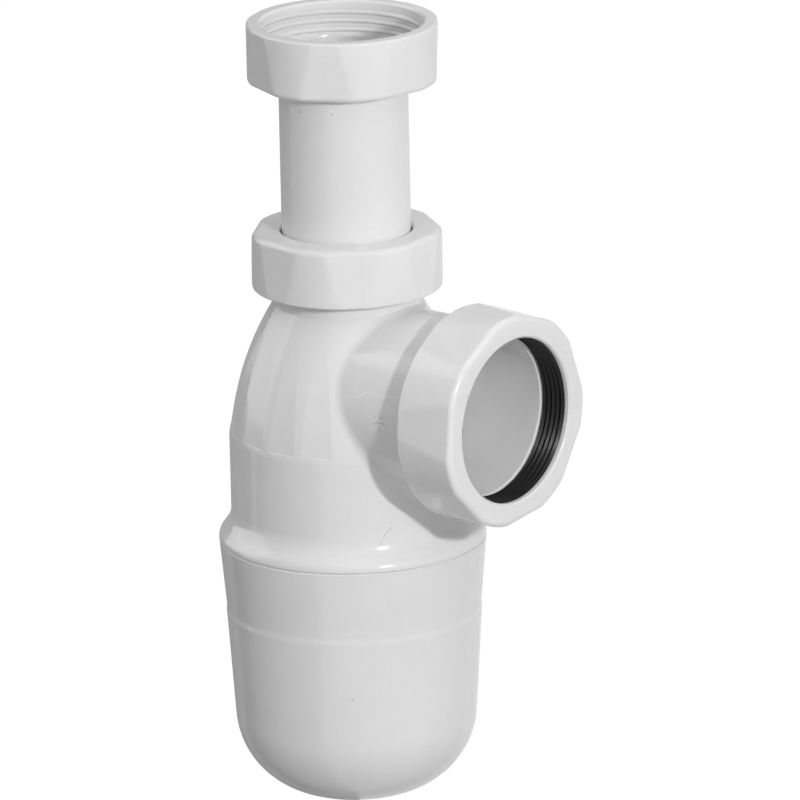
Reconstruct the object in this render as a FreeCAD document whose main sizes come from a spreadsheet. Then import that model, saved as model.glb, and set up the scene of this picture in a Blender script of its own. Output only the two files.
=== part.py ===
"""Bottle trap with a telescopic inlet and a compression outlet, in millimetres.

The origin is the centre of the sealing face that the basin waste stands on, +Z points up
along the trap's axis and +X points out of the outlet.
"""
import FreeCAD, Part
import math
import os
import Sketcher

Vector = FreeCAD.Vector
Rotation = FreeCAD.Rotation
FULL_TURN = 360
HALF_TURN = 180
SAME = 0.001  # mm, how close two places must be to count as one

# Driving sizes: name, value and what it measures
SIZES = [
    # Inlet thread, 1 1/4 inch pipe thread
    ("InletThreadRadius", 21.0, "wall of the inlet nut's thread, at the thread's outside"),
    ("InletThreadDepth", 10.4, "from the washer to the inlet nut's mouth"),
    # What the three nuts share
    ("NutFlats", 7, "flats round each nut"),
    ("NutWall", 3.6, "nut's wall outside its thread"),
    ("NutLip", 2.0, "thickness of the lip of the inlet and neck nuts"),
    ("FlatDepth", 1.0, "depth of a flat at the lip face"),
    ("FlatRunout", 0.15, "depth of a flat at the mouth"),
    ("NutEdge", 1.4, "rounding round the lip face"),
    ("NutCorner", 6.0, "rounding between a flat and the round"),
    ("MouthEdge", 0.6, "rounding outside a nut's mouth"),
    ("MouthChamfer", 0.5, "lead-in of a nut's thread"),
    ("OpeningEdge", 0.5, "rounding of a lip's opening"),
    ("InletNutTurn", -9.0, "angle of the inlet nut's first flat, in degrees"),
    ("NeckNutTurn", -5.2, "angle of the neck nut's first flat, in degrees"),
    ("OutletNutTurn", 18.8, "angle of the outlet nut's first flat, in degrees"),
    ("ThreadGap", 0.6, "radial room for a thread's ridges inside its nut"),
    ("RunGap", 0.3, "gap between pieces that pass each other"),
    ("SlideGap", 0.35, "radial gap round the sliding tube"),
    ("SeatGap", 0.1, "gap of a rubber ring on its seat"),
    # Inlet tube and its washer
    ("TubeRadius", 16.65, "outside of the telescopic tube"),
    ("TubeWall", 1.8, "wall of the telescopic tube"),
    ("TubeLength", 104.0, "from the top of the flange to the lower end"),
    ("FlangeRoom", 0.8, "radial room between the flange and the inlet nut's thread"),
    ("FlangeHeight", 1.7, "thickness of the flange"),
    ("WasherHeight", 1.5, "thickness of the inlet washer"),
    ("ExposedTube", 39.1, "tube between the inlet nut and the neck nut"),
    # Neck of the trap body, its nut, slip ring and seal
    ("NeckWall", 2.3, "wall of the neck below its thread"),
    ("NeckThreadStep", 1.1, "step from there out to the foot of the thread's ridges"),
    ("NeckRoom", 4.1, "from the dome's top to the neck nut's mouth"),
    ("NeckThreadLength", 10.0, "threaded length of the neck"),
    ("NeckNutHeight", 15.2, "whole height of the neck nut"),
    ("SealConeDepth", 5.0, "depth of the cone in the neck's mouth"),
    ("SealConeWidth", 2.2, "how far the cone opens round the tube's bore"),
    ("SealTip", 1.0, "depth of the cone that the seal leaves free"),
    ("SealProud", 0.6, "height of the neck seal above the neck's mouth"),
    ("SlipRingHeight", 1.8, "thickness of the slip ring"),
    # Dome, waist and skirt of the trap body
    ("DomeTop", 22.9, "height above the outlet's axis where the dome meets the neck"),
    ("DomeFoot", 12.1, "depth of the dome's foot below the outlet's axis"),
    ("DomeMargin", 8.12, "from the branch's outside radius out to the dome's foot radius"),
    ("DomeFlare", 0.02, "step from the waist out to the dome's foot"),
    ("DomeCurve", 86.0, "radius of the dome's profile"),
    ("FacetCount", 19, "dome facets in a full turn"),
    ("FacetsKept", 13, "dome facets that are there, away from the outlet"),
    ("FacetDepth", 0.3, "depth of a dome facet at its lower end"),
    ("FacetTop", 17.0, "height of a facet's tip above the outlet's axis"),
    ("FacetFoot", 10.9, "depth of a facet's lower end below the outlet's axis"),
    ("WaistDrop", 34.5, "depth of the waist below the outlet's axis"),
    ("WaistStep", 3.3, "step from the waist out to the skirt"),
    ("WaistCurve", 7.7, "hollow between the waist and the skirt"),
    ("ShoulderDrop", 4.4, "from the waist down to the skirt's shoulder"),
    ("SkirtCurve", 2.8, "rounding of the skirt's shoulder"),
    ("SkirtHeight", 1.6, "from the skirt's shoulder down to the seam"),
    ("SeamEdge", 0.35, "small rounding on both sides of the seam"),
    ("BodyWall", 2.4, "wall of the dome and the skirt"),
    ("SpigotWall", 2.3, "wall of the spigot"),
    ("SpigotLength", 12.5, "length of the spigot below the seam"),
    ("DipWall", 1.8, "wall of the dip tube"),
    ("WaterSeal", 75.0, "depth of the dip tube's end below the outlet's lowest inside line"),
    ("AnnulusTop", 15.4, "height of the passage round the dip tube above the outlet's axis"),
    # Outlet branch, its nut and seal
    ("BranchBore", 20.8, "bore that takes the waste pipe"),
    ("BranchWall", 2.5, "wall of the branch behind its nut"),
    ("BranchThreadStep", 0.2, "step from there out to the foot of the thread's ridges"),
    ("BranchPlain", 7.33, "from the dome's foot radius to the branch's thread"),
    ("BranchThreadLength", 7.9, "threaded length of the branch"),
    ("BranchFillet", 4.0, "rounding between the branch and the dome"),
    ("OutletNutHeight", 17.0, "whole height of the outlet nut"),
    ("OutletLip", 1.6, "thickness of the outlet nut's lip"),
    ("OutletRoom", 0.7, "radial room round the waste pipe in the outlet nut's opening"),
    ("OutletSealLength", 7.3, "length of the outlet seal"),
    ("SealLipRoom", 0.05, "radial room round the waste pipe's bore at the seal's lips"),
    ("SealLipDepth", 0.85, "depth between the seal's lips"),
    ("OutletSealLips", 5, "lips along the outlet seal"),
    # Bottle and its seal
    ("BottleGap", 0.6, "radial room for the spigot's ridges inside the bottle"),
    ("BottleRimWall", 2.85, "wall of the bottle round its thread"),
    ("BottleSealRoom", 0.5, "gap between the spigot's end and the bottle seal"),
    ("BottleWall", 2.1, "wall of the bottle below its thread"),
    ("BeadDrop", 4.6, "depth of the bead below the bottle's ledge"),
    ("BeadStep", 1.6, "step from the rim in to the bottle at the bead"),
    ("BeadProud", 0.15, "height of the bead"),
    ("BeadHalf", 1.4, "half the width of the bead"),
    ("BeadEase", 0.4, "how softly the bead is rounded, as a share of its slopes"),
    ("DipRoom", 11.1, "from the dip tube's end to the bottle's floor"),
    ("BottleTaper", 3.0, "how much narrower the bottle would be at its bottom than at the bead"),
    ("BottleCorner", 22.3, "rounding of the bottle's bottom"),
    ("BottleSealHeight", 2.0, "thickness of the bottle seal"),
    ("BottleSealWidth", 2.0, "width of the bottle seal"),
    # Small edges
    ("MouldEdge", 0.5, "rounding at the ends of the moulded threads and tubes"),
    ("RubberEdge", 0.3, "rounding of the rubber rings"),
    ("CutRoom", 1.0, "how far a cut runs past the face that it opens"),
]


class Size:
    """A length with its number and the expression that works it out from the sheet."""

    def __init__(self, value, text):
        self.value = value
        self.text = text

    def __add__(self, other):
        other = as_size(other)
        return Size(self.value + other.value, "(%s + %s)" % (self.text, other.text))

    def __sub__(self, other):
        other = as_size(other)
        return Size(self.value - other.value, "(%s - %s)" % (self.text, other.text))

    def __mul__(self, other):
        other = as_size(other)
        return Size(self.value * other.value, "(%s * %s)" % (self.text, other.text))

    def __truediv__(self, other):
        other = as_size(other)
        return Size(self.value / other.value, "(%s / %s)" % (self.text, other.text))

    def __neg__(self):
        return Size(-self.value, "(0 - %s)" % self.text)

    def root(self):
        """The square root."""
        return Size(math.sqrt(self.value), "sqrt(%s)" % self.text)


def as_size(value):
    """A plain number as a Size."""
    if isinstance(value, Size):
        return value
    return Size(float(value), repr(value))


def fill_sheet(doc):
    """Write the driving sizes to the sheet and return them by name."""
    sheet = doc.addObject("Spreadsheet::Sheet", "Sizes")
    sizes = {}
    for row, (name, value, note) in enumerate(SIZES, start=1):
        sheet.set("A%d" % row, name)
        sheet.set("B%d" % row, str(value))
        sheet.set("C%d" % row, note)
        sheet.setAlias("B%d" % row, name)
        sizes[name] = Size(float(value), "Sizes.%s" % name)
    doc.recompute()
    return sizes


def link_sizes(sizes):
    """Add the sizes that follow from the driving ones."""
    own = dict(sizes)
    own["FlangeRadius"] = own["InletThreadRadius"] - own["FlangeRoom"]
    own["TubeBore"] = own["TubeRadius"] + own["SlideGap"]
    own["TubeInside"] = own["TubeRadius"] - own["TubeWall"]
    own["NeckRootRadius"] = own["TubeBore"] + own["NeckWall"]
    own["NeckThreadRadius"] = own["NeckRootRadius"] + own["NeckThreadStep"]
    own["SealConeRadius"] = own["TubeBore"] + own["SealConeWidth"]
    own["NeckNutFoot"] = own["DomeTop"] + own["NeckRoom"]
    above_mouth = own["NutLip"] + own["SlipRingHeight"] + own["SealProud"]
    own["NeckHeight"] = own["NeckNutFoot"] + own["NeckNutHeight"] - above_mouth

    own["BranchRadius"] = own["BranchBore"] + own["BranchWall"]
    own["DomeFootRadius"] = own["BranchRadius"] + own["DomeMargin"]
    own["WaistRadius"] = own["DomeFootRadius"] - own["DomeFlare"]
    own["SkirtRadius"] = own["WaistRadius"] + own["WaistStep"]
    own["SkirtTopDrop"] = own["WaistDrop"] + own["ShoulderDrop"]
    own["SeamDrop"] = own["SkirtTopDrop"] + own["SkirtHeight"]
    own["SpigotRadius"] = own["SkirtRadius"] - own["BottleRimWall"] - own["BottleGap"]

    own["BranchThreadRadius"] = own["BranchRadius"] + own["BranchThreadStep"]
    own["BranchThreadFoot"] = own["DomeFootRadius"] + own["BranchPlain"]
    own["BranchEnd"] = own["BranchThreadFoot"] + own["BranchThreadLength"]
    own["OutletOpening"] = own["BranchBore"] + own["OutletRoom"]
    own["OutletSealLip"] = own["BranchBore"] + own["SealLipRoom"]
    own["OutletSealRoot"] = own["OutletSealLip"] + own["SealLipDepth"]

    own["DipEnd"] = own["BranchBore"] + own["WaterSeal"]
    own["BottleSocket"] = own["SpigotLength"] + own["BottleSealHeight"] + own["BottleSealRoom"]
    own["BeadRadius"] = own["SkirtRadius"] - own["BeadStep"]
    own["BeadCurve"] = own["BeadHalf"] * own["BeadHalf"] / own["BeadProud"] * own["BeadEase"]
    own["BottleFootRadius"] = own["BeadRadius"] - own["BottleTaper"]
    own["BottleLength"] = own["DipEnd"] + own["DipRoom"] + own["BottleWall"] - own["SeamDrop"]
    return own


def bind(thing, path, size):
    """Bind one property to its expression."""
    thing.setExpression(path, as_size(size).text)


def new_body(doc, label):
    """An empty body whose label names its file."""
    body = doc.addObject("PartDesign::Body", label)
    body.Label = label
    return body


def origin_feature(body, role):
    """One of the body's own origin planes or axes."""
    return [item for item in body.Origin.OriginFeatures if item.Role == role][0]


def new_sketch(body, name, role):
    """An empty sketch on one of the body's origin planes."""
    sketch = body.newObject("Sketcher::SketchObject", name)
    sketch.AttachmentSupport = [(origin_feature(body, role), "")]
    sketch.MapMode = "FlatFace"
    return sketch


def constrain(sketch, kind, geometry, point, size):
    """Fix one coordinate or radius of the sketch to its expression."""
    size = as_size(size)
    if kind == "Radius":
        index = sketch.addConstraint(Sketcher.Constraint(kind, geometry, size.value))
    else:
        index = sketch.addConstraint(Sketcher.Constraint(kind, geometry, point, size.value))
    sketch.setExpression("Constraints[%d]" % index, size.text)


class Corner:
    """A corner of an outline: sharp or rounded, reached by a line or by an arc.

    arc is the radius of the edge that arrives here, and side is 1 where that edge's centre
    lies to the left of the way along the outline and -1 where it lies to the right.
    """

    def __init__(self, x, y, rounding=None, arc=None, side=1):
        self.x = as_size(x)
        self.y = as_size(y)
        self.rounding = rounding
        self.arc = arc
        self.side = side
        self.point = Vector(self.x.value, self.y.value, 0)


def tangent_points(before, corner, after):
    """Where the rounding of a corner meets its two lines, and the rounding's middle."""
    back = (before.point - corner.point).normalize()
    on = (after.point - corner.point).normalize()
    half = back.getAngle(on) / 2
    radius = as_size(corner.rounding).value
    reach = radius / math.tan(half)
    towards = (back + on).normalize()
    centre = corner.point + towards * (radius / math.sin(half))
    return corner.point + back * reach, corner.point + on * reach, centre - towards * radius


def arc_through(start, end, radius, side):
    """The short arc between two points, with its centre to the left (1) or right (-1)."""
    middle = (start + end) * 0.5
    along = end - start
    half = along.Length / 2
    left = Vector(-along.y, along.x, 0).normalize()
    bulge = radius - math.sqrt(radius * radius - half * half)
    return Part.Arc(start, middle - left * (bulge * side), end)


def outline(body, name, role, corners):
    """A closed, fully constrained sketch through the corners."""
    sketch = new_sketch(body, name, role)
    count = len(corners)
    rounds = {}
    for k, corner in enumerate(corners):
        if corner.rounding is not None:
            rounds[k] = tangent_points(corners[k - 1], corner, corners[(k + 1) % count])
    edges = []
    for k, corner in enumerate(corners):
        last = (k - 1) % count
        start = rounds[last][1] if last in rounds else corners[last].point
        end = rounds[k][0] if k in rounds else corner.point
        if corner.arc is None:
            index = sketch.addGeometry(Part.LineSegment(start, end), False)
            edges.append((index, 1, 2))
        else:
            radius = as_size(corner.arc)
            index = sketch.addGeometry(arc_through(start, end, radius.value, corner.side), False)
            constrain(sketch, "Radius", index, 0, radius)
            edges.append((index, 1, 2) if corner.side == 1 else (index, 2, 1))
    for k, corner in enumerate(corners):
        arriving, leaving = edges[k], edges[(k + 1) % count]
        if k in rounds:
            round_corner(sketch, corner, rounds[k], arriving, leaving)
        else:
            sketch.addConstraint(Sketcher.Constraint(
                "Coincident", arriving[0], arriving[2], leaving[0], leaving[1]))
            constrain(sketch, "DistanceX", arriving[0], arriving[2], corner.x)
            constrain(sketch, "DistanceY", arriving[0], arriving[2], corner.y)
    return sketch


def round_corner(sketch, corner, places, arriving, leaving):
    """A tangent arc between two lines that would meet at the corner."""
    start, end, middle = places
    turn = (middle - start).cross(end - middle).z
    index = sketch.addGeometry(Part.Arc(start, middle, end), False)
    first, last = (1, 2) if turn > 0 else (2, 1)
    sketch.addConstraint(Sketcher.Constraint("Tangent", arriving[0], arriving[2], index, first))
    sketch.addConstraint(Sketcher.Constraint("Tangent", index, last, leaving[0], leaving[1]))
    constrain(sketch, "Radius", index, 0, corner.rounding)
    mark = sketch.addGeometry(Part.Point(corner.point), True)
    sketch.addConstraint(Sketcher.Constraint("PointOnObject", mark, 1, arriving[0]))
    sketch.addConstraint(Sketcher.Constraint("PointOnObject", mark, 1, leaving[0]))
    constrain(sketch, "DistanceX", mark, 1, corner.x)
    constrain(sketch, "DistanceY", mark, 1, corner.y)


def turn_sketch(sketch, angle):
    """Turn a sketch of the XZ plane about the body's Z axis."""
    sketch.AttachmentOffset = FreeCAD.Placement(Vector(), Rotation(Vector(0, 1, 0), angle.value))
    bind(sketch, ".AttachmentOffset.Rotation.Angle", angle)


def turned(body, kind, name, sketch, axis="V_Axis"):
    """A Revolution or Groove of the sketch through a full turn."""
    feature = body.newObject("PartDesign::%s" % kind, name)
    feature.Profile = sketch
    feature.ReferenceAxis = (sketch, [axis])
    feature.Angle = FULL_TURN
    body.Document.recompute()
    return feature


def ring(doc, label, corners):
    """A body that is one turned outline."""
    body = new_body(doc, label)
    turned(body, "Revolution", "Ring", outline(body, "Section", "XZ_Plane", corners))
    return body


def pick_edges(shape, test):
    """Names of the edges that pass the test."""
    return ["Edge%d" % (k + 1) for k, edge in enumerate(shape.Edges) if test(edge)]


def rounded(body, name, test, radius):
    """Fillet the edges of the body's last feature that pass the test."""
    base = body.Tip
    fillet = body.newObject("PartDesign::Fillet", name)
    fillet.Base = (base, pick_edges(base.Shape, test))
    fillet.Radius = as_size(radius).value
    bind(fillet, "Radius", radius)
    body.Document.recompute()
    return fillet


def at_height(edge, height):
    """Whether the whole edge lies at one height."""
    box = edge.BoundBox
    return abs(box.ZMin - height) < SAME and abs(box.ZMax - height) < SAME


def nut(doc, label, sizes, bore, height, lip, opening, turn, seat=None):
    """A nut with its lip face at the bottom: round at the mouth, flats growing to the lip.

    turn is the angle of its first flat, and seat the radius and height of a plain seat
    between the lip and the thread.
    """
    body = new_body(doc, label)
    outside = bore + sizes["NutWall"]
    clear = outside + sizes["NutWall"]
    turned(body, "Revolution", "Blank", outline(body, "Outside", "XZ_Plane", [
        Corner(0, 0),
        Corner(outside, 0),
        Corner(outside, height),
        Corner(0, height),
    ]))
    flat = outline(body, "FlatLine", "XZ_Plane", [
        Corner(outside - sizes["FlatDepth"], 0),
        Corner(clear, 0),
        Corner(clear, height),
        Corner(outside - sizes["FlatRunout"], height),
    ])
    turn_sketch(flat, turn)
    pocket = body.newObject("PartDesign::Pocket", "Flat")
    pocket.Profile = flat
    pocket.Type = "ThroughAll"
    pocket.Midplane = True
    doc.recompute()
    flats = body.newObject("PartDesign::PolarPattern", "Flats")
    flats.Originals = [pocket]
    flats.Axis = (origin_feature(body, "Z_Axis"), [""])
    flats.Angle = FULL_TURN
    flats.Occurrences = int(sizes["NutFlats"].value)
    bind(flats, "Occurrences", sizes["NutFlats"])
    body.Tip = flats
    doc.recompute()

    rounded(body, "Corners", lambda edge: edge.BoundBox.ZLength > height.value / 2, sizes["NutCorner"])
    rounded(body, "LipEdge", lambda edge: at_height(edge, 0), sizes["NutEdge"])
    rounded(body, "MouthRim", lambda edge: at_height(edge, height.value), sizes["MouthEdge"])
    chamfer = sizes["MouthChamfer"]
    edge = sizes["OpeningEdge"]
    turned(body, "Groove", "Hollow", outline(body, "Inside", "XZ_Plane", [
        Corner(0, 0),
        Corner(opening + edge, 0),
        Corner(opening, edge),
        Corner(opening, lip),
    ] + seat_corners(bore, lip, seat) + [
        Corner(bore, height - chamfer),
        Corner(bore + chamfer, height),
        Corner(0, height),
    ]))
    return body


def seat_corners(bore, lip, seat):
    """The inside corners between a nut's lip and its thread."""
    if seat is None:
        return [Corner(bore, lip)]
    radius, top = seat
    return [Corner(radius, lip), Corner(radius, top), Corner(bore, top)]


def inlet_tube(doc, sizes):
    """Telescopic tube with the flange that the inlet nut holds."""
    inside, outside, flange = sizes["TubeInside"], sizes["TubeRadius"], sizes["FlangeRadius"]
    top = -sizes["WasherHeight"]
    root = top - sizes["FlangeHeight"]
    end = top - sizes["TubeLength"]
    edge = sizes["MouldEdge"]
    return ring(doc, "inlet_tube", [
        Corner(inside, top),
        Corner(inside, end),
        Corner(outside, end, rounding=edge),
        Corner(outside, root),
        Corner(flange, root, rounding=edge),
        Corner(flange, top, rounding=edge),
    ])


def inlet_washer(doc, sizes):
    """Flat rubber washer on the flange."""
    inside, outside = sizes["TubeInside"], sizes["FlangeRadius"]
    foot = -sizes["WasherHeight"]
    edge = sizes["RubberEdge"]
    return ring(doc, "inlet_washer", [
        Corner(inside, 0, rounding=edge),
        Corner(inside, foot),
        Corner(outside, foot),
        Corner(outside, 0, rounding=edge),
    ])


def dome_radius(sizes, height):
    """Outside radius of the dome at a height above the outlet's axis."""
    curve = sizes["DomeCurve"]
    top_radius, foot_radius = sizes["NeckRootRadius"], sizes["DomeFootRadius"]
    wide, tall = foot_radius - top_radius, sizes["DomeTop"] + sizes["DomeFoot"]
    chord = (wide * wide + tall * tall).root()
    inwards = (curve * curve - chord * chord / 4).root() / chord
    centre = (top_radius + foot_radius) / 2 - tall * inwards
    level = height - (sizes["DomeTop"] - sizes["DomeFoot"]) / 2 + wide * inwards
    return centre + (curve * curve - level * level).root()


def trap_body(doc, sizes):
    """One moulding: neck, dome, branch, skirt, spigot and dip tube, about the outlet's axis."""
    body = new_body(doc, "trap_body")
    bore = sizes["TubeBore"]
    dip = bore + sizes["DipWall"]
    dip_end = -sizes["DipEnd"]
    spigot_end = -(sizes["SeamDrop"] + sizes["SpigotLength"])
    add_blank(body, sizes, dip, dip_end, spigot_end)
    add_branch(body, sizes)
    add_facets(body, sizes)
    add_neck(body, sizes)
    hollow_shell(body, sizes, dip, spigot_end)
    bore_tube(body, sizes, bore, dip_end)
    bore_branch(body, sizes, dip)
    return body


def add_blank(body, sizes, dip, dip_end, spigot_end):
    """The body's outside, turned and still solid."""
    neck = sizes["NeckHeight"]
    turned(body, "Revolution", "Blank", outline(body, "Outside", "XZ_Plane", [
        Corner(0, neck),
        Corner(dome_radius(sizes, neck), neck),
        Corner(sizes["DomeFootRadius"], -sizes["DomeFoot"], arc=sizes["DomeCurve"], side=-1),
        Corner(sizes["WaistRadius"], -sizes["WaistDrop"], rounding=sizes["WaistCurve"]),
        Corner(sizes["SkirtRadius"], -sizes["SkirtTopDrop"], rounding=sizes["SkirtCurve"]),
        Corner(sizes["SkirtRadius"], -sizes["SeamDrop"], rounding=sizes["SeamEdge"]),
        Corner(sizes["SpigotRadius"], -sizes["SeamDrop"]),
        Corner(sizes["SpigotRadius"], spigot_end, rounding=sizes["MouldEdge"]),
        Corner(dip, spigot_end),
        Corner(dip, dip_end),
        Corner(0, dip_end),
    ]))


def add_facets(body, sizes):
    """Shallow facets that widen down the dome and end above its foot, away from the branch."""
    foot, top = -sizes["FacetFoot"], sizes["FacetTop"]
    clear = sizes["DomeFootRadius"] + sizes["BodyWall"]
    strip = outline(body, "FacetLine", "XZ_Plane", [
        Corner(dome_radius(sizes, foot) - sizes["FacetDepth"], foot, arc=sizes["DomeCurve"], side=-1),
        Corner(clear, foot),
        Corner(clear, top),
        Corner(dome_radius(sizes, top), top),
    ])
    span = as_size(FULL_TURN) / sizes["FacetCount"] * (sizes["FacetsKept"] - 1)
    turn_sketch(strip, as_size(HALF_TURN) - span / 2)
    pocket = body.newObject("PartDesign::Pocket", "Facet")
    pocket.Profile = strip
    pocket.Midplane = True
    bind(pocket, "Length", sizes["DomeFootRadius"] / 3)
    body.Document.recompute()
    facets = body.newObject("PartDesign::PolarPattern", "Facets")
    facets.Originals = [pocket]
    facets.Axis = (origin_feature(body, "Z_Axis"), [""])
    facets.Angle = span.value
    bind(facets, "Angle", span)
    facets.Occurrences = int(sizes["FacetsKept"].value)
    bind(facets, "Occurrences", sizes["FacetsKept"])
    body.Tip = facets
    body.Document.recompute()


def add_branch(body, sizes):
    """The outlet branch with its threaded end, rounded into the dome."""
    end, thread_foot = sizes["BranchEnd"], sizes["BranchThreadFoot"]
    outside, thread = sizes["BranchRadius"], sizes["BranchThreadRadius"]
    start = sizes["NeckRootRadius"] / 2
    plain_end = thread_foot - (thread - outside)
    turned(body, "Revolution", "Branch", outline(body, "BranchSection", "XZ_Plane", [
        Corner(start, 0),
        Corner(end, 0),
        Corner(end, thread, rounding=sizes["MouldEdge"]),
        Corner(thread_foot, thread),
        Corner(plain_end, outside),
        Corner(start, outside),
    ]), "H_Axis")

    def joins_branch(edge):
        off = [abs(math.hypot(point.y, point.z) - outside.value) for point in edge.discretize(7)]
        box = edge.BoundBox
        return max(off) < SAME * 10 and box.XMin > start.value and box.XMax < plain_end.value - SAME

    rounded(body, "BranchRoot", joins_branch, sizes["BranchFillet"])


def add_neck(body, sizes):
    """The threaded neck, with room for the neck nut round it."""
    neck = sizes["NeckHeight"]
    root = sizes["NeckRootRadius"]
    thread = sizes["NeckThreadRadius"]
    thread_foot = neck - sizes["NeckThreadLength"]
    clear = sizes["BranchEnd"]
    level = sizes["NeckNutFoot"] - sizes["RunGap"]
    inside_dome = sizes["DomeTop"] - sizes["CutRoom"]
    turned(body, "Groove", "NutRoom", outline(body, "RoomSection", "XZ_Plane", [
        Corner(root, level),
        Corner(clear, level),
        Corner(clear, neck),
        Corner(root, neck),
    ]))
    turned(body, "Revolution", "Neck", outline(body, "NeckSection", "XZ_Plane", [
        Corner(0, inside_dome),
        Corner(root, inside_dome),
        Corner(root, thread_foot - sizes["NeckThreadStep"]),
        Corner(thread, thread_foot),
        Corner(thread, neck, rounding=sizes["MouldEdge"]),
        Corner(0, neck),
    ]))


def hollow_shell(body, sizes, dip, spigot_end):
    """The passage between the dip tube and the shell, open at the spigot's end."""
    wall = sizes["BodyWall"]
    inside = sizes["SpigotRadius"] - sizes["SpigotWall"]
    below = spigot_end - sizes["CutRoom"]
    top = sizes["AnnulusTop"]
    turned(body, "Groove", "Passage", outline(body, "PassageSection", "XZ_Plane", [
        Corner(dip, below),
        Corner(dip, top),
        Corner(dome_radius(sizes, top) - wall, top),
        Corner(sizes["DomeFootRadius"] - wall, -sizes["DomeFoot"], arc=sizes["DomeCurve"] - wall, side=-1),
        Corner(inside, spigot_end),
        Corner(inside, below),
    ]))


def bore_tube(body, sizes, bore, dip_end):
    """The bore that the inlet tube slides in, with the seal's cone at its mouth."""
    neck = sizes["NeckHeight"]
    past = sizes["CutRoom"]
    turned(body, "Groove", "TubeBore", outline(body, "BoreSection", "XZ_Plane", [
        Corner(0, dip_end - past),
        Corner(bore, dip_end - past),
        Corner(bore, neck - sizes["SealConeDepth"]),
        Corner(sizes["SealConeRadius"], neck),
        Corner(sizes["SealConeRadius"], neck + past),
        Corner(0, neck + past),
    ]))


def bore_branch(body, sizes, dip):
    """The bore for the waste pipe, from the branch's mouth to just short of the dip tube."""
    end, bore = sizes["BranchEnd"], sizes["BranchBore"]
    past, edge = sizes["CutRoom"], sizes["MouldEdge"]
    turned(body, "Groove", "PipeBore", outline(body, "PipeSection", "XZ_Plane", [
        Corner(dip + past, 0),
        Corner(end + past, 0),
        Corner(end + past, bore + edge),
        Corner(end, bore + edge),
        Corner(end - edge, bore),
        Corner(dip + past, bore),
    ]), "H_Axis")


def bottle(doc, sizes):
    """The screw-on bottle, with its rim at the seam."""
    socket = sizes["SpigotRadius"] + sizes["BottleGap"]
    ledge = socket - sizes["BottleSealWidth"]
    wall = sizes["BottleWall"]
    drop = -sizes["BottleSocket"] - sizes["BeadDrop"]
    half, curve = sizes["BeadHalf"], sizes["BeadCurve"]
    bottom = -sizes["BottleLength"]
    bead = sizes["BeadRadius"]
    foot = sizes["BottleFootRadius"]
    return ring(doc, "bottle", [
        Corner(socket, 0),
        Corner(socket, -sizes["BottleSocket"]),
        Corner(ledge, -sizes["BottleSocket"]),
        Corner(bead - wall, drop),
        Corner(foot - wall, bottom + wall, rounding=sizes["BottleCorner"] - wall),
        Corner(0, bottom + wall),
        Corner(0, bottom),
        Corner(foot, bottom, rounding=sizes["BottleCorner"]),
        Corner(bead, drop - half, rounding=curve),
        Corner(bead + sizes["BeadProud"], drop, rounding=curve),
        Corner(bead, drop + half, rounding=curve),
        Corner(sizes["SkirtRadius"], 0, rounding=sizes["SeamEdge"]),
    ])


def bottle_seal(doc, sizes):
    """Flat rubber ring on the bottle's ledge, under the spigot."""
    outside = sizes["SpigotRadius"] + sizes["BottleGap"] - sizes["SeatGap"]
    inside = outside - sizes["BottleSealWidth"] + sizes["SeatGap"]
    foot = -sizes["BottleSocket"]
    top = foot + sizes["BottleSealHeight"]
    edge = sizes["RubberEdge"]
    return ring(doc, "bottle_seal", [
        Corner(inside, foot),
        Corner(outside, foot),
        Corner(outside, top, rounding=edge),
        Corner(inside, top, rounding=edge),
    ])


def neck_seal(doc, sizes):
    """Rubber cone in the neck's mouth, with its top at the slip ring."""
    inside, outside = sizes["TubeBore"], sizes["SealConeRadius"] - sizes["SeatGap"]
    depth = sizes["SealConeDepth"] - sizes["SealTip"]
    slope = sizes["SealConeWidth"] / sizes["SealConeDepth"]
    return ring(doc, "neck_seal", [
        Corner(inside, sizes["SealProud"]),
        Corner(inside, -depth),
        Corner(outside - slope * depth, -depth),
        Corner(outside, 0),
        Corner(outside, sizes["SealProud"]),
    ])


def neck_ring(doc, sizes):
    """Slip ring between the neck seal and the neck nut's lip."""
    inside, outside = sizes["TubeBore"], sizes["NeckThreadRadius"]
    top = sizes["SlipRingHeight"]
    edge = sizes["MouldEdge"]
    return ring(doc, "neck_ring", [
        Corner(inside, 0),
        Corner(outside, 0, rounding=edge),
        Corner(outside, top, rounding=edge),
        Corner(inside, top),
    ])


def outlet_seal(doc, sizes):
    """Rubber sleeve with fine lips, between the branch's mouth and the outlet nut's lip."""
    outside = sizes["BranchThreadRadius"]
    root = sizes["OutletSealRoot"]
    lip = sizes["OutletSealLip"]
    length = sizes["OutletSealLength"]
    edge = sizes["RubberEdge"]
    count = int(sizes["OutletSealLips"].value)
    pitch = length / count
    corners = [Corner(outside, 0, rounding=edge), Corner(outside, length, rounding=edge)]
    for k in range(count, 0, -1):
        corners.append(Corner(root, pitch * k))
        corners.append(Corner(lip, pitch * k - pitch / 2))
    corners.append(Corner(root, 0))
    return ring(doc, "outlet_seal", corners)


def place(body, axis, distance, rotation=None):
    """Put a body at its distance along one of the main axes."""
    body.Placement = FreeCAD.Placement(Vector(), rotation or Rotation())
    bind(body, ".Placement.Base.%s" % axis, distance)


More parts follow.
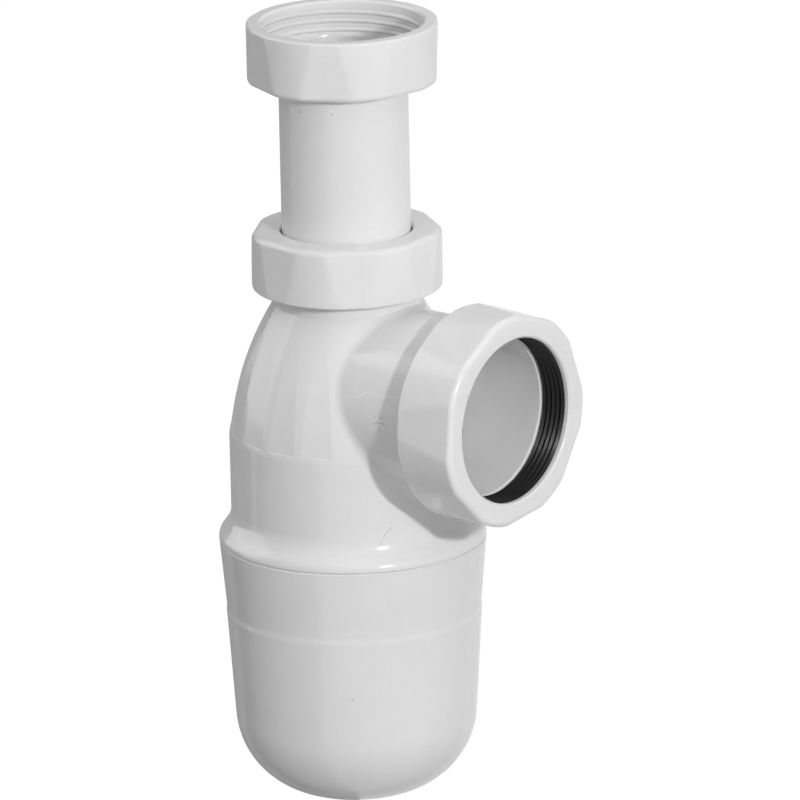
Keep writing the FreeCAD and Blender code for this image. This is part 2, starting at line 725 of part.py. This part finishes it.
def build_trap(doc, sizes):
    """All the pieces at their places, as photographed."""
    about_x, about_y = Vector(1, 0, 0), Vector(0, 1, 0)
    opening = sizes["TubeBore"]
    held = sizes["WasherHeight"] + sizes["FlangeHeight"]
    inlet_height = sizes["InletThreadDepth"] + held + sizes["NutLip"]
    neck_bore = sizes["NeckThreadRadius"] + sizes["ThreadGap"]
    outlet_bore = sizes["BranchThreadRadius"] + sizes["ThreadGap"]

    seat = (sizes["FlangeRadius"] + sizes["RunGap"], sizes["NutLip"] + held)
    inlet_nut = nut(doc, "inlet_nut", sizes, sizes["InletThreadRadius"], inlet_height,
                    sizes["NutLip"], opening, sizes["InletNutTurn"], seat)
    nut_foot = -(held + sizes["NutLip"])
    place(inlet_nut, "z", nut_foot)
    place(inlet_tube(doc, sizes), "z", 0)
    place(inlet_washer(doc, sizes), "z", 0)

    neck_nut = nut(doc, "neck_nut", sizes, neck_bore, sizes["NeckNutHeight"],
                   sizes["NutLip"], opening, sizes["NeckNutTurn"])
    neck_top = nut_foot - sizes["ExposedTube"]
    place(neck_nut, "z", neck_top, Rotation(about_x, HALF_TURN))
    ring_foot = neck_top - sizes["NutLip"] - sizes["SlipRingHeight"]
    place(neck_ring(doc, sizes), "z", ring_foot)
    mouth = ring_foot - sizes["SealProud"]
    place(neck_seal(doc, sizes), "z", mouth)

    outlet_level = mouth - sizes["NeckHeight"]
    place(trap_body(doc, sizes), "z", outlet_level)
    seam = outlet_level - sizes["SeamDrop"]
    place(bottle(doc, sizes), "z", seam)
    place(bottle_seal(doc, sizes), "z", seam)

    seal_end = sizes["BranchEnd"] + sizes["OutletSealLength"]
    sideways = Rotation(about_y, -HALF_TURN / 2)
    outlet_nut = nut(doc, "outlet_nut", sizes, outlet_bore, sizes["OutletNutHeight"],
                     sizes["OutletLip"], sizes["OutletOpening"], sizes["OutletNutTurn"])
    place(outlet_nut, "x", seal_end + sizes["OutletLip"], sideways)
    bind(outlet_nut, ".Placement.Base.z", outlet_level)
    seal = outlet_seal(doc, sizes)
    place(seal, "x", seal_end, sideways)
    bind(seal, ".Placement.Base.z", outlet_level)
    doc.recompute()


def check(doc):
    """Stop if any object failed or any body has no sound solid."""
    for item in doc.Objects:
        if "Invalid" in item.State or "Error" in item.State:
            raise RuntimeError("%s failed: %s" % (item.Name, item.State))
    for body in doc.findObjects("PartDesign::Body"):
        shape = body.Shape
        if shape.isNull() or not shape.isValid() or len(shape.Solids) != 1:
            raise RuntimeError("%s has no single sound solid" % body.Label)


def export(doc):
    """Write each body to a file named after it."""
    os.makedirs("parts", exist_ok=True)
    for body in doc.findObjects("PartDesign::Body"):
        body.Shape.exportStep("parts/%s.step" % body.Label)
        print("%-14s %9.1f mm3" % (body.Label, body.Shape.Volume))


document = FreeCAD.newDocument("bottle_trap")
build_trap(document, link_sizes(fill_sheet(document)))
check(document)
export(document)
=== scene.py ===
"""Looks of the bottle trap: glossy white mouldings, a ribbed black seal and a white studio."""
import math

import bpy
from mathutils import Matrix, Vector


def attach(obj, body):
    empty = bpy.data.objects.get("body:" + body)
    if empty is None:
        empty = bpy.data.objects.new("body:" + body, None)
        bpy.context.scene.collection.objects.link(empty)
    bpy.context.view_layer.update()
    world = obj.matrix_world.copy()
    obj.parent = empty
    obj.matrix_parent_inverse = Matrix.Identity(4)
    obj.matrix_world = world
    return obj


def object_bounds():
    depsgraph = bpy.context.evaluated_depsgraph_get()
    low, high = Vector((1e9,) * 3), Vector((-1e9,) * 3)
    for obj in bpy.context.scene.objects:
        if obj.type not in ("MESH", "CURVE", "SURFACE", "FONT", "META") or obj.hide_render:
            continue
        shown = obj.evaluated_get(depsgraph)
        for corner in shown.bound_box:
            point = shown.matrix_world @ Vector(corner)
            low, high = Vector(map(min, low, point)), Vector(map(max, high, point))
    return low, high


MM = 0.001
IMAGE_WIDTH = 800  # pixels, the photograph's frame
SENSOR = 36.0  # mm

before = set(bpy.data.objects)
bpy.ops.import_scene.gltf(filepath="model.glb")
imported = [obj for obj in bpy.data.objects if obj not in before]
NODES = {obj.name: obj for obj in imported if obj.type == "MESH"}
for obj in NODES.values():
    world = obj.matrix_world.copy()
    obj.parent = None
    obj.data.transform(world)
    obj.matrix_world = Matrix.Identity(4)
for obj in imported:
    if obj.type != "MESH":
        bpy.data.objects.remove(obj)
CAD_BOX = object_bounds()

# The camera: where it stands round the trap, and how the photograph is framed
AZIMUTH = math.radians(40.1)
ELEVATION = math.radians(16.66)
ROLL = math.radians(1.15)
DISTANCE = 2383 * MM
AIM_HEIGHT = -58.7 * MM  # point on the trap's axis that the camera was set out from
AIM_RIGHT = -13.5 * MM
AIM_UP = 30.65 * MM
FOCAL_PIXELS = 9261

# Levels and sizes that the threads are seated on, as in the frame
OUTLET_LEVEL = -86.5 * MM
NECK_MOUTH = -48.7 * MM
BRANCH_END = 46.65 * MM
SEAM = -127.0 * MM
PIPE_PITCH = 25.4 / 11 * MM
BOTTLE_PITCH = 4.0 * MM
RIDGE_HEIGHT = 0.5 * MM
INLET_NUT_BORE = 21.0 * MM
NECK_RADIUS = 20.4 * MM
NECK_NUT_BORE = 21.0 * MM
BRANCH_RADIUS = 23.5 * MM
OUTLET_NUT_BORE = 24.1 * MM
SPIGOT_RADIUS = 31.25 * MM
BOTTLE_BORE = 31.85 * MM
FLOOR_LEVEL = CAD_BOX[0].z - 55 * MM  # the trap hangs over it, with room for its lowest pose


def camera_axes():
    """Right, up and back of the camera, in the row frame."""
    sine, cosine = math.sin(AZIMUTH), math.cos(AZIMUTH)
    right = Vector((cosine, sine, 0))
    back = Vector((sine * math.cos(ELEVATION), -cosine * math.cos(ELEVATION), math.sin(ELEVATION)))
    up = back.cross(right)
    turn = Matrix.Rotation(ROLL, 3, back)
    return turn.transposed() @ right, turn.transposed() @ up, back


RIGHT, UP, BACK = camera_axes()
AIM = Vector((0, 0, AIM_HEIGHT))


def add_camera():
    """The photograph's camera."""
    data = bpy.data.cameras.new("photo_camera")
    data.sensor_width = SENSOR
    data.lens = FOCAL_PIXELS * SENSOR / IMAGE_WIDTH
    data.clip_start, data.clip_end = 0.1, 50
    camera = bpy.data.objects.new("photo_camera", data)
    bpy.context.scene.collection.objects.link(camera)
    place = AIM + BACK * DISTANCE - RIGHT * AIM_RIGHT - UP * AIM_UP
    turn = Matrix((RIGHT, UP, BACK)).transposed()
    camera.matrix_world = Matrix.Translation(place) @ turn.to_4x4()
    bpy.context.scene.camera = camera


# A colour mix node has a socket for each kind of value: these are the ones for colours
MIX_FACTOR, MIX_FIRST, MIX_SECOND = 0, 6, 7
MIX_RESULT = 2

SOLID_CORE = 0.35  # share of a mark's width that has its full grey
SMALLEST_SPAN = 1e-9  # square metres, so that a mark of one point isn't divided by zero


class Nodes:
    """A material's node tree, with short ways to add and join nodes."""

    def __init__(self, name):
        self.material = bpy.data.materials.new(name)
        self.material.use_nodes = True
        self.tree = self.material.node_tree
        self.shader = self.tree.nodes["Principled BSDF"]
        self.place = self.add("ShaderNodeTexCoord").outputs["Object"]

    def add(self, kind, **values):
        """A node with its properties and plain input values set."""
        node = self.tree.nodes.new(kind)
        for key, value in values.items():
            if key in node.inputs:
                node.inputs[key].default_value = value
            else:
                setattr(node, key, value)
        return node

    def join(self, start, end):
        """Link an output to an input."""
        self.tree.links.new(start, end)

    def noise(self, scale, detail):
        """Noise over the object's own coordinates, scale in ripples per metre."""
        node = self.add("ShaderNodeTexNoise", Scale=scale, Detail=detail)
        self.join(self.place, node.inputs["Vector"])
        return node.outputs["Fac"]

    def spread(self, value, low, high, start=0.3, end=0.7):
        """The value mapped from start..end to low..high."""
        node = self.add("ShaderNodeMapRange")
        ends = {"From Min": start, "From Max": end, "To Min": low, "To Max": high}
        for key, number in ends.items():
            node.inputs[key].default_value = number
        self.join(value, node.inputs["Value"])
        return node.outputs["Result"]

    def maths(self, operation, first, second):
        """One operation on two values or numbers."""
        node = self.add("ShaderNodeMath", operation=operation)
        for socket, value in zip(node.inputs, (first, second)):
            if isinstance(value, (int, float)):
                socket.default_value = value
            else:
                self.join(value, socket)
        return node.outputs["Value"]

    def vectors(self, operation, first, second):
        """One operation on two vectors or outputs."""
        node = self.add("ShaderNodeVectorMath", operation=operation)
        for socket, value in zip(node.inputs, (first, second)):
            if isinstance(value, Vector):
                socket.default_value = value
            else:
                self.join(value, socket)
        return node.outputs

    def trace(self, points, width):
        """1 along the line through some points, or at a single one, and 0 beyond the width, in mm."""
        corners = [Vector(point) * MM for point in points]
        total = None
        for start, end in zip(corners, corners[1:] or corners):
            span = end - start
            away = self.vectors("SUBTRACT", self.place, start)["Vector"]
            along = self.vectors("DOT_PRODUCT", away, span)["Value"]
            length = max(span.length_squared, SMALLEST_SPAN)
            share = self.spread(along, 0.0, 1.0, start=0.0, end=length)
            foot = self.vectors("MULTIPLY", share, span)["Vector"]
            gap = self.vectors("DISTANCE", away, foot)["Value"]
            mask = self.spread(gap, 1.0, 0.0, start=width * SOLID_CORE * MM, end=width * MM)
            total = mask if total is None else self.maths("MAXIMUM", total, mask)
        return total

    def blend(self, paint, grey, mask):
        """The paint with a grey over it where the mask is 1."""
        mix = self.add("ShaderNodeMix", data_type="RGBA")
        self.join(mask, mix.inputs[MIX_FACTOR])
        self.join(paint, mix.inputs[MIX_FIRST])
        mix.inputs[MIX_SECOND].default_value = (grey, grey, grey, 1)
        return mix.outputs[MIX_RESULT]

    def colour(self, value, low, high):
        """A ramp along the value between two (place, colour) pairs."""
        ramp = self.add("ShaderNodeValToRGB")
        for element, (place, colour) in zip(ramp.color_ramp.elements, (low, high)):
            element.position = place
            element.color = colour + (1.0,)
        self.join(value, ramp.inputs["Fac"])
        return ramp.outputs["Color"]

    def bump(self, height, distance, strength=1.0, before=None):
        """A bump of the given depth in metres."""
        node = self.add("ShaderNodeBump", Strength=strength, Distance=distance)
        self.join(height, node.inputs["Height"])
        if before is not None:
            self.join(before, node.inputs["Normal"])
        return node.outputs["Normal"]


GATE = (28.98, -23.28, -85.78)  # mm, the moulding's gate mark on the branch: dark scuffs round it, and a painted highlight on it

# Marks of the moulding and of handling, with painted highlights and painted shade along some of them:
# (grey, width, points), sizes in mm in the row frame
MARKS_AND_PAINTED_LIGHT = {
    "trap_body": [
        # The branch's parting line with its V witness: the light lines are painted highlight along
        # the ridge, and the darker V under them is painted shade.
        (0.72, 0.20, [(20.75, -21.96, -79.2), (22.3, -22.46, -80.85), (23.6, -22.2, -80.1)]),
        (0.93, 0.20, [(17.6, -22.65, -81.03), (21.82, -22.5, -80.46)]),
        (0.96, 0.22, [(20.38, -21.91, -78.59), (22.17, -22.51, -80.53), (24.14, -22.04, -78.96)]),
        (0.93, 0.18, [(24.14, -22.04, -78.96), (28.3, -22.1, -79.2), (32.78, -22.06, -79.03)]),
        (0.93, 0.16, [(29.5, -22.1, -79.2), (35.28, -21.88, -78.5)]),
        (0.66, 0.24, [GATE, (30.4, -23.19, -84.3)]),
        (0.66, 0.20, [GATE, (29.2, -23.08, -83.4)]),
        (0.66, 0.22, [GATE, (27.8, -23.2, -84.5)]),
        (0.62, 0.26, [GATE, (31.1, -23.29, -86.1)]),
        (0.66, 0.22, [GATE, (27.4, -23.29, -86.6)]),
        (0.62, 0.24, [GATE, (29.6, -23.26, -87.6)]),
        # Light lines and a light dot on the gate: painted highlight.
        (0.96, 0.20, [(28.3, -23.28, -85.2), (30.6, -23.28, -85.3)]),
        (0.96, 0.20, [(28.5, -23.29, -86.4), (30.9, -23.27, -87.3)]),
        (0.96, 0.45, [(29.3, -23.28, -85.6)]),
        # A hairline scratch on the waist, darker.
        (0.64, 0.17, [(26.92, -16.16, -115.97), (26.04, -17.54, -117.39), (25.24, -19.08, -120.37)]),
        # The lighter line just above the scratch is painted highlight.
        (0.96, 0.14, [(26.7, -16.6, -115.6), (25.8, -18.0, -117.1)]),
        # A light dot on the step at the foot of the dome's facets: painted highlight.
        (0.97, 0.40, [(-5.59, -30.81, -97.74)]),
    ],
    "inlet_tube": [
        # The tube's two retaining pips, as dots: the grey dot at the left pip is painted shade, and
        # the right pip has a painted highlight above and painted shade below.
        (0.70, 0.55, [(-0.5, -16.63, -10.22)]),
        (0.97, 0.45, [(8.1, -14.6, -9.2)]),
        (0.60, 0.40, [(8.32, -14.42, -10.0)]),
    ],
    "bottle": [
        (0.58, 0.34, [(20.06, -25.18, -161.6)]),
    ],
    "outlet_nut": [
        # A dark dot at the lip of the nut's bore: painted shade where the shade inside the outlet
        # begins.
        (0.50, 0.35, [(55.55, -19.68, -75.32)]),
    ],
}


def white_plastic(name, marks_and_painted_light=()):
    """Glossy moulded plastic, a little uneven in tone and gloss, with the wear of its piece and some
    painted highlights and painted shade.
    """
    nodes = Nodes(name)
    clouds = nodes.noise(28, detail=3)
    grain = nodes.noise(900, detail=1)
    broad = nodes.maths("MULTIPLY", clouds, 0.7)
    fine = nodes.maths("MULTIPLY", grain, 0.3)
    tone = nodes.maths("ADD", broad, fine)
    paint = nodes.colour(tone, (0.3, (0.825, 0.825, 0.827)), (0.7, (0.87, 0.87, 0.87)))
    for grey, width, points in marks_and_painted_light:
        paint = nodes.blend(paint, grey, nodes.trace(points, width))
    nodes.join(paint, nodes.shader.inputs["Base Color"])
    gloss = nodes.spread(nodes.noise(160, detail=3), 0.09, 0.16)
    nodes.join(gloss, nodes.shader.inputs["Roughness"])
    nodes.shader.inputs["IOR"].default_value = 1.49
    nodes.shader.inputs["Subsurface Weight"].default_value = 0.3
    nodes.shader.inputs["Subsurface Radius"].default_value = (1.0, 1.0, 1.0)
    nodes.shader.inputs["Subsurface Scale"].default_value = 2.5 * MM
    waves = nodes.bump(nodes.noise(55, detail=1), 0.12 * MM, strength=0.5)
    peel = nodes.bump(nodes.noise(1400, detail=2), 0.01 * MM, strength=0.5, before=waves)
    nodes.join(peel, nodes.shader.inputs["Normal"])
    return nodes.material


def black_rubber():
    """Satin black rubber with fine rings from its mould."""
    nodes = Nodes("black_rubber")
    mottle = nodes.noise(220, detail=3)
    paint = nodes.colour(mottle, (0.3, (0.004, 0.004, 0.004)), (0.75, (0.012, 0.012, 0.012)))
    nodes.join(paint, nodes.shader.inputs["Base Color"])
    nodes.join(nodes.spread(mottle, 0.34, 0.5), nodes.shader.inputs["Roughness"])
    nodes.shader.inputs["Specular IOR Level"].default_value = 0.2
    rings = nodes.add("ShaderNodeTexWave", wave_type="BANDS", bands_direction="X",
                      Scale=330, Distortion=0.6)
    nodes.join(nodes.place, rings.inputs["Vector"])
    lines = nodes.bump(rings.outputs["Fac"], 0.05 * MM, strength=0.3)
    nodes.join(lines, nodes.shader.inputs["Normal"])
    return nodes.material


def pale_washer():
    """Soft off-white washer."""
    nodes = Nodes("pale_washer")
    mottle = nodes.noise(300, detail=2)
    paint = nodes.colour(mottle, (0.3, (0.62, 0.62, 0.61)), (0.7, (0.68, 0.68, 0.67)))
    nodes.join(paint, nodes.shader.inputs["Base Color"])
    nodes.join(nodes.spread(mottle, 0.42, 0.55), nodes.shader.inputs["Roughness"])
    return nodes.material


STEPS_PER_TURN = 96
RIDGE_SUNK = 0.05 * MM  # how far a ridge's foot stands in its wall
RUN_OUT = 3.0  # a ridge grows to its full height over one third of a turn
CREST_ROUNDING = 0.3  # share of the ridge's height
SHARP = math.radians(20)  # edges with a larger turn are rounded


def helix_mesh(name, radius, start, end, pitch, height, foot, crest, turn=0.0):
    """A ridge wound round +Z: height is positive outwards and negative inwards.

    foot and crest are the ridge's widths at the wall and at its top.
    """
    sunk = math.copysign(RIDGE_SUNK, height)
    turns = (end - start) / pitch
    count = max(2, int(turns * STEPS_PER_TURN))
    vertices, faces = [], []
    for k in range(count + 1):
        along = k / count
        angle = math.tau * turns * along + turn
        level = start + (end - start) * along
        fade = min(1.0, RUN_OUT * turns * min(along, 1 - along))
        size = height * fade
        section = ((-foot / 2, -sunk), (-crest / 2, size), (crest / 2, size), (foot / 2, -sunk))
        for offset, out in section:
            reach = radius + out
            vertices.append((reach * math.cos(angle), reach * math.sin(angle), level + offset))
    for k in range(count):
        for j in range(4):
            a, b = 4 * k + j, 4 * k + (j + 1) % 4
            faces.append((a, b, b + 4, a + 4))
    faces.append((3, 2, 1, 0))
    faces.append(tuple(4 * count + j for j in range(4)))
    mesh = bpy.data.meshes.new(name)
    mesh.from_pydata(vertices, [], faces)
    if height < 0:
        mesh.flip_normals()
    mesh.update()
    return mesh


def thread(name, body, material, place=None, **shape):
    """A thread's ridge as a piece that rides on a body."""
    piece = bpy.data.objects.new(name, helix_mesh(name, **shape))
    if place is not None:
        piece.matrix_world = place
    bpy.context.scene.collection.objects.link(piece)
    piece.data.materials.append(material)
    for polygon in piece.data.polygons:
        polygon.use_smooth = True
    bevel = piece.modifiers.new("round_crest", "BEVEL")
    bevel.width = abs(shape["height"]) * CREST_ROUNDING
    bevel.segments = 2
    bevel.limit_method = "ANGLE"
    bevel.angle_limit = SHARP
    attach(piece, body)


def add_threads(plastic):
    """Ridges of the threads: the inlet nut's shows, the others meet inside the joints."""
    fine = {"pitch": PIPE_PITCH, "foot": 1.3 * MM, "crest": 0.5 * MM}
    outer = dict(fine, height=RIDGE_HEIGHT)
    inner = dict(fine, height=-RIDGE_HEIGHT)
    apart = PIPE_PITCH / 2
    thread("inlet_nut_thread", "inlet_nut", plastic, radius=INLET_NUT_BORE,
           start=0.5 * MM, end=8.6 * MM, pitch=PIPE_PITCH, height=-0.55 * MM,
           foot=1.6 * MM, crest=0.4 * MM, turn=math.radians(116))

    low, high = NECK_MOUTH - 8.8 * MM, NECK_MOUTH - 1.4 * MM
    thread("neck_thread", "trap_body", plastic, radius=NECK_RADIUS,
           start=low, end=high, **outer)
    thread("neck_nut_thread", "neck_nut", plastic, radius=NECK_NUT_BORE,
           start=low + apart, end=high + apart, **inner)

    sideways = Matrix.Translation((0, 0, OUTLET_LEVEL)) @ Matrix.Rotation(math.pi / 2, 4, "Y")
    low, high = BRANCH_END - 6.9 * MM, BRANCH_END - 1.4 * MM
    thread("branch_thread", "trap_body", plastic, place=sideways, radius=BRANCH_RADIUS,
           start=low, end=high, **outer)
    thread("outlet_nut_thread", "outlet_nut", plastic, place=sideways, radius=OUTLET_NUT_BORE,
           start=low + apart, end=high + apart, **inner)

    coarse = {"pitch": BOTTLE_PITCH, "foot": 2.0 * MM, "crest": 0.9 * MM}
    low = SEAM - 11.0 * MM
    apart = BOTTLE_PITCH / 2
    thread("spigot_thread", "trap_body", plastic, radius=SPIGOT_RADIUS,
           start=low, end=SEAM - 2.0 * MM, height=RIDGE_HEIGHT, **coarse)
    thread("bottle_thread", "bottle", plastic, radius=BOTTLE_BORE,
           start=low + apart, end=SEAM - 4.0 * MM + apart, height=-RIDGE_HEIGHT, **coarse)


def paint_nodes(plastic, rubber, washer):
    """Give every CAD node its material."""
    for name, node in NODES.items():
        material = white_plastic(name + "_plastic", MARKS_AND_PAINTED_LIGHT[name]) if name in MARKS_AND_PAINTED_LIGHT else plastic
        if name == "inlet_washer":
            material = washer
        elif name.endswith("_seal"):
            material = rubber
        node.data.materials.clear()
        node.data.materials.append(material)


def area_light(name, direction, distance, size, power):
    """A square soft box that faces the trap from (right, up, back) of the camera."""
    data = bpy.data.lights.new(name, "AREA")
    data.shape = "SQUARE"
    data.size = size
    data.energy = power
    light = bpy.data.objects.new(name, data)
    bpy.context.scene.collection.objects.link(light)
    towards = (RIGHT * direction[0] + UP * direction[1] + BACK * direction[2]).normalized()
    light.location = AIM + towards * distance
    light.rotation_mode = "QUATERNION"
    light.rotation_quaternion = towards.to_track_quat("Z", "Y")
    return light


def seen_rays(tree):
    """1 for camera, glossy and transmission rays, which see the white studio itself."""
    path = tree.nodes.new("ShaderNodeLightPath")
    total = path.outputs["Is Camera Ray"]
    for name in ("Is Glossy Ray", "Is Transmission Ray"):
        add = tree.nodes.new("ShaderNodeMath")
        add.operation = "MAXIMUM"
        tree.links.new(total, add.inputs[0])
        tree.links.new(path.outputs[name], add.inputs[1])
        total = add.outputs["Value"]
    return total


def add_world(ambient, overhead):
    """Even light that grows towards the top of the sky, and plain white where it is seen."""
    world = bpy.data.worlds.new("studio")
    bpy.context.scene.world = world
    world.use_nodes = True
    tree = world.node_tree
    background = tree.nodes["Background"]
    mix = tree.nodes.new("ShaderNodeMix")
    mix.data_type = "FLOAT"
    where = tree.nodes.new("ShaderNodeTexCoord")
    parts = tree.nodes.new("ShaderNodeSeparateXYZ")
    tree.links.new(where.outputs["Generated"], parts.inputs["Vector"])
    sky = tree.nodes.new("ShaderNodeMapRange")
    sky.inputs["To Min"].default_value = ambient
    sky.inputs["To Max"].default_value = ambient + overhead
    tree.links.new(parts.outputs["Z"], sky.inputs["Value"])
    tree.links.new(sky.outputs["Result"], mix.inputs["A"])
    mix.inputs["B"].default_value = 1.0
    tree.links.new(seen_rays(tree), mix.inputs["Factor"])
    tree.links.new(mix.outputs["Result"], background.inputs["Strength"])
    background.inputs["Color"].default_value = (1, 1, 1, 1)


FLOOR_REACH = 6.0  # metres each way
FLOOR_GREY = 0.42  # what the floor throws back of the light
FLOOR_GLOW = 1.15  # brightness of the white that the camera and the gloss see
FLOOR_GLOW_SHARE = 0.85


def add_floor():
    """White floor below the bottle: it keeps the shadow, and reads as white where it is lit."""
    mesh = bpy.data.meshes.new("floor")
    corners = [(x * FLOOR_REACH, y * FLOOR_REACH, 0) for x, y in ((-1, -1), (1, -1), (1, 1), (-1, 1))]
    mesh.from_pydata(corners, [], [(0, 1, 2, 3)])
    floor = bpy.data.objects.new("floor", mesh)
    floor.location.z = FLOOR_LEVEL
    bpy.context.scene.collection.objects.link(floor)
    material = bpy.data.materials.new("floor")
    material.use_nodes = True
    tree = material.node_tree
    tree.nodes.clear()
    matt = tree.nodes.new("ShaderNodeBsdfDiffuse")
    matt.inputs["Color"].default_value = (FLOOR_GREY, FLOOR_GREY, FLOOR_GREY, 1)
    glow = tree.nodes.new("ShaderNodeEmission")
    glow.inputs["Strength"].default_value = FLOOR_GLOW
    both = tree.nodes.new("ShaderNodeMixShader")
    level = tree.nodes.new("ShaderNodeMath")
    level.operation = "MULTIPLY"
    level.inputs[1].default_value = FLOOR_GLOW_SHARE
    out = tree.nodes.new("ShaderNodeOutputMaterial")
    tree.links.new(seen_rays(tree), level.inputs[0])
    tree.links.new(level.outputs["Value"], both.inputs["Fac"])
    tree.links.new(matt.outputs["BSDF"], both.inputs[1])
    tree.links.new(glow.outputs["Emission"], both.inputs[2])
    tree.links.new(both.outputs["Shader"], out.inputs["Surface"])
    mesh.materials.append(material)


NEAR_FLOOR = 0.40  # metres from the frame's origin, where the near floor's brightness ends
FAR_FLOOR = 0.54  # metres, where the brightness of the floor further off begins


def glow_material(name, near, far):
    """A card's own brightness, which goes from near to far with the distance from the trap; a darker
    near part is painted shadow of the trap on the floor, for the gloss to show.
    """
    nodes = Nodes(name)
    away = nodes.vectors("DISTANCE", nodes.place, Vector((0, 0, 0)))["Value"]
    level = nodes.spread(away, near, far, start=NEAR_FLOOR, end=FAR_FLOOR)
    glow = nodes.add("ShaderNodeEmission")
    nodes.join(level, glow.inputs["Strength"])
    out = nodes.tree.nodes["Material Output"]
    nodes.join(glow.outputs["Emission"], out.inputs["Surface"])
    nodes.tree.nodes.remove(nodes.shader)
    return nodes.material


# The room that the gloss shows: degrees to the right of the camera, brightness of the floor near the
# trap, of the floor further off and of the wall. The darker floor near the trap is painted shadow of
# the trap, seen only in the gloss.
ROOM = [
    (-180, -140, 0.30, 0.38, 0.35),
    (-140, -127, 0.35, 0.50, 1.80),
    (-127, -106, 0.15, 0.60, 2.40),
    (-106, -102, 0.30, 1.30, 2.40),
    (-102, -90, 0.25, 0.50, 2.40),
    (-90, -76, 0.25, 0.45, 0.80),
    (-76, -30, 0.35, 0.35, 0.50),
    (75, 120, 0.70, 0.80, 0.60),
    (120, 180, 0.90, 0.90, 0.60),
]
ROOM_REACH = 2.6  # metres from the trap to the walls
ROOM_HEIGHT = 3.0  # metres
CARD_STEP = 5  # degrees, the widest flat part of a card
CARD_LIFT = 0.1 * MM  # the floor's cards lie this far above it


def add_room():
    """Cards on the floor and walls round the trap that only its gloss shows."""
    floor = FLOOR_LEVEL + CARD_LIFT
    facing = AZIMUTH - math.pi / 2
    for number, (start, end, near, far, above) in enumerate(ROOM):
        steps = max(1, round((end - start) / CARD_STEP))
        turns = [start + (end - start) * k / steps for k in range(steps + 1)]
        angles = [facing + math.radians(turn) for turn in turns]
        rim = [(ROOM_REACH * math.cos(angle), ROOM_REACH * math.sin(angle)) for angle in angles]
        ground = [(0, 0, floor)] + [(x, y, floor) for x, y in rim]
        wall = [(x, y, floor) for x, y in rim] + [(x, y, ROOM_HEIGHT) for x, y in rim]
        count = steps + 1
        ground_faces = [(0, k + 1, k + 2) for k in range(steps)]
        wall_faces = [(k, k + 1, count + k + 1, count + k) for k in range(steps)]
        for kind, vertices, faces, levels in (("ground", ground, ground_faces, (near, far)),
                                              ("wall", wall, wall_faces, (above, above))):
            name = "card_%s_%d" % (kind, number)
            mesh = bpy.data.meshes.new(name)
            mesh.from_pydata(vertices, [], faces)
            mesh.materials.append(glow_material(name, *levels))
            card = bpy.data.objects.new(name, mesh)
            bpy.context.scene.collection.objects.link(card)
            card.visible_camera = False
            card.visible_diffuse = False
            card.visible_shadow = False
            card.visible_transmission = False


def light_studio():
    """One small key light from the right, even light all round and a weak fill from behind."""
    add_world(ambient=0.24, overhead=0.57)
    area_light("key", direction=(0.442, 0.082, 0.893), distance=1.136, size=0.06, power=6.0)
    fill = area_light("fill", direction=(-0.25, 0.35, -0.9), distance=2.0, size=1.0, power=3.6)
    fill.visible_glossy = False
    add_room()


plastic_look = white_plastic("white_plastic")
paint_nodes(plastic_look, rubber=black_rubber(), washer=pale_washer())
add_threads(plastic_look)
add_floor()
light_studio()
add_camera()
bpy.context.scene.view_settings.view_transform = "Standard"
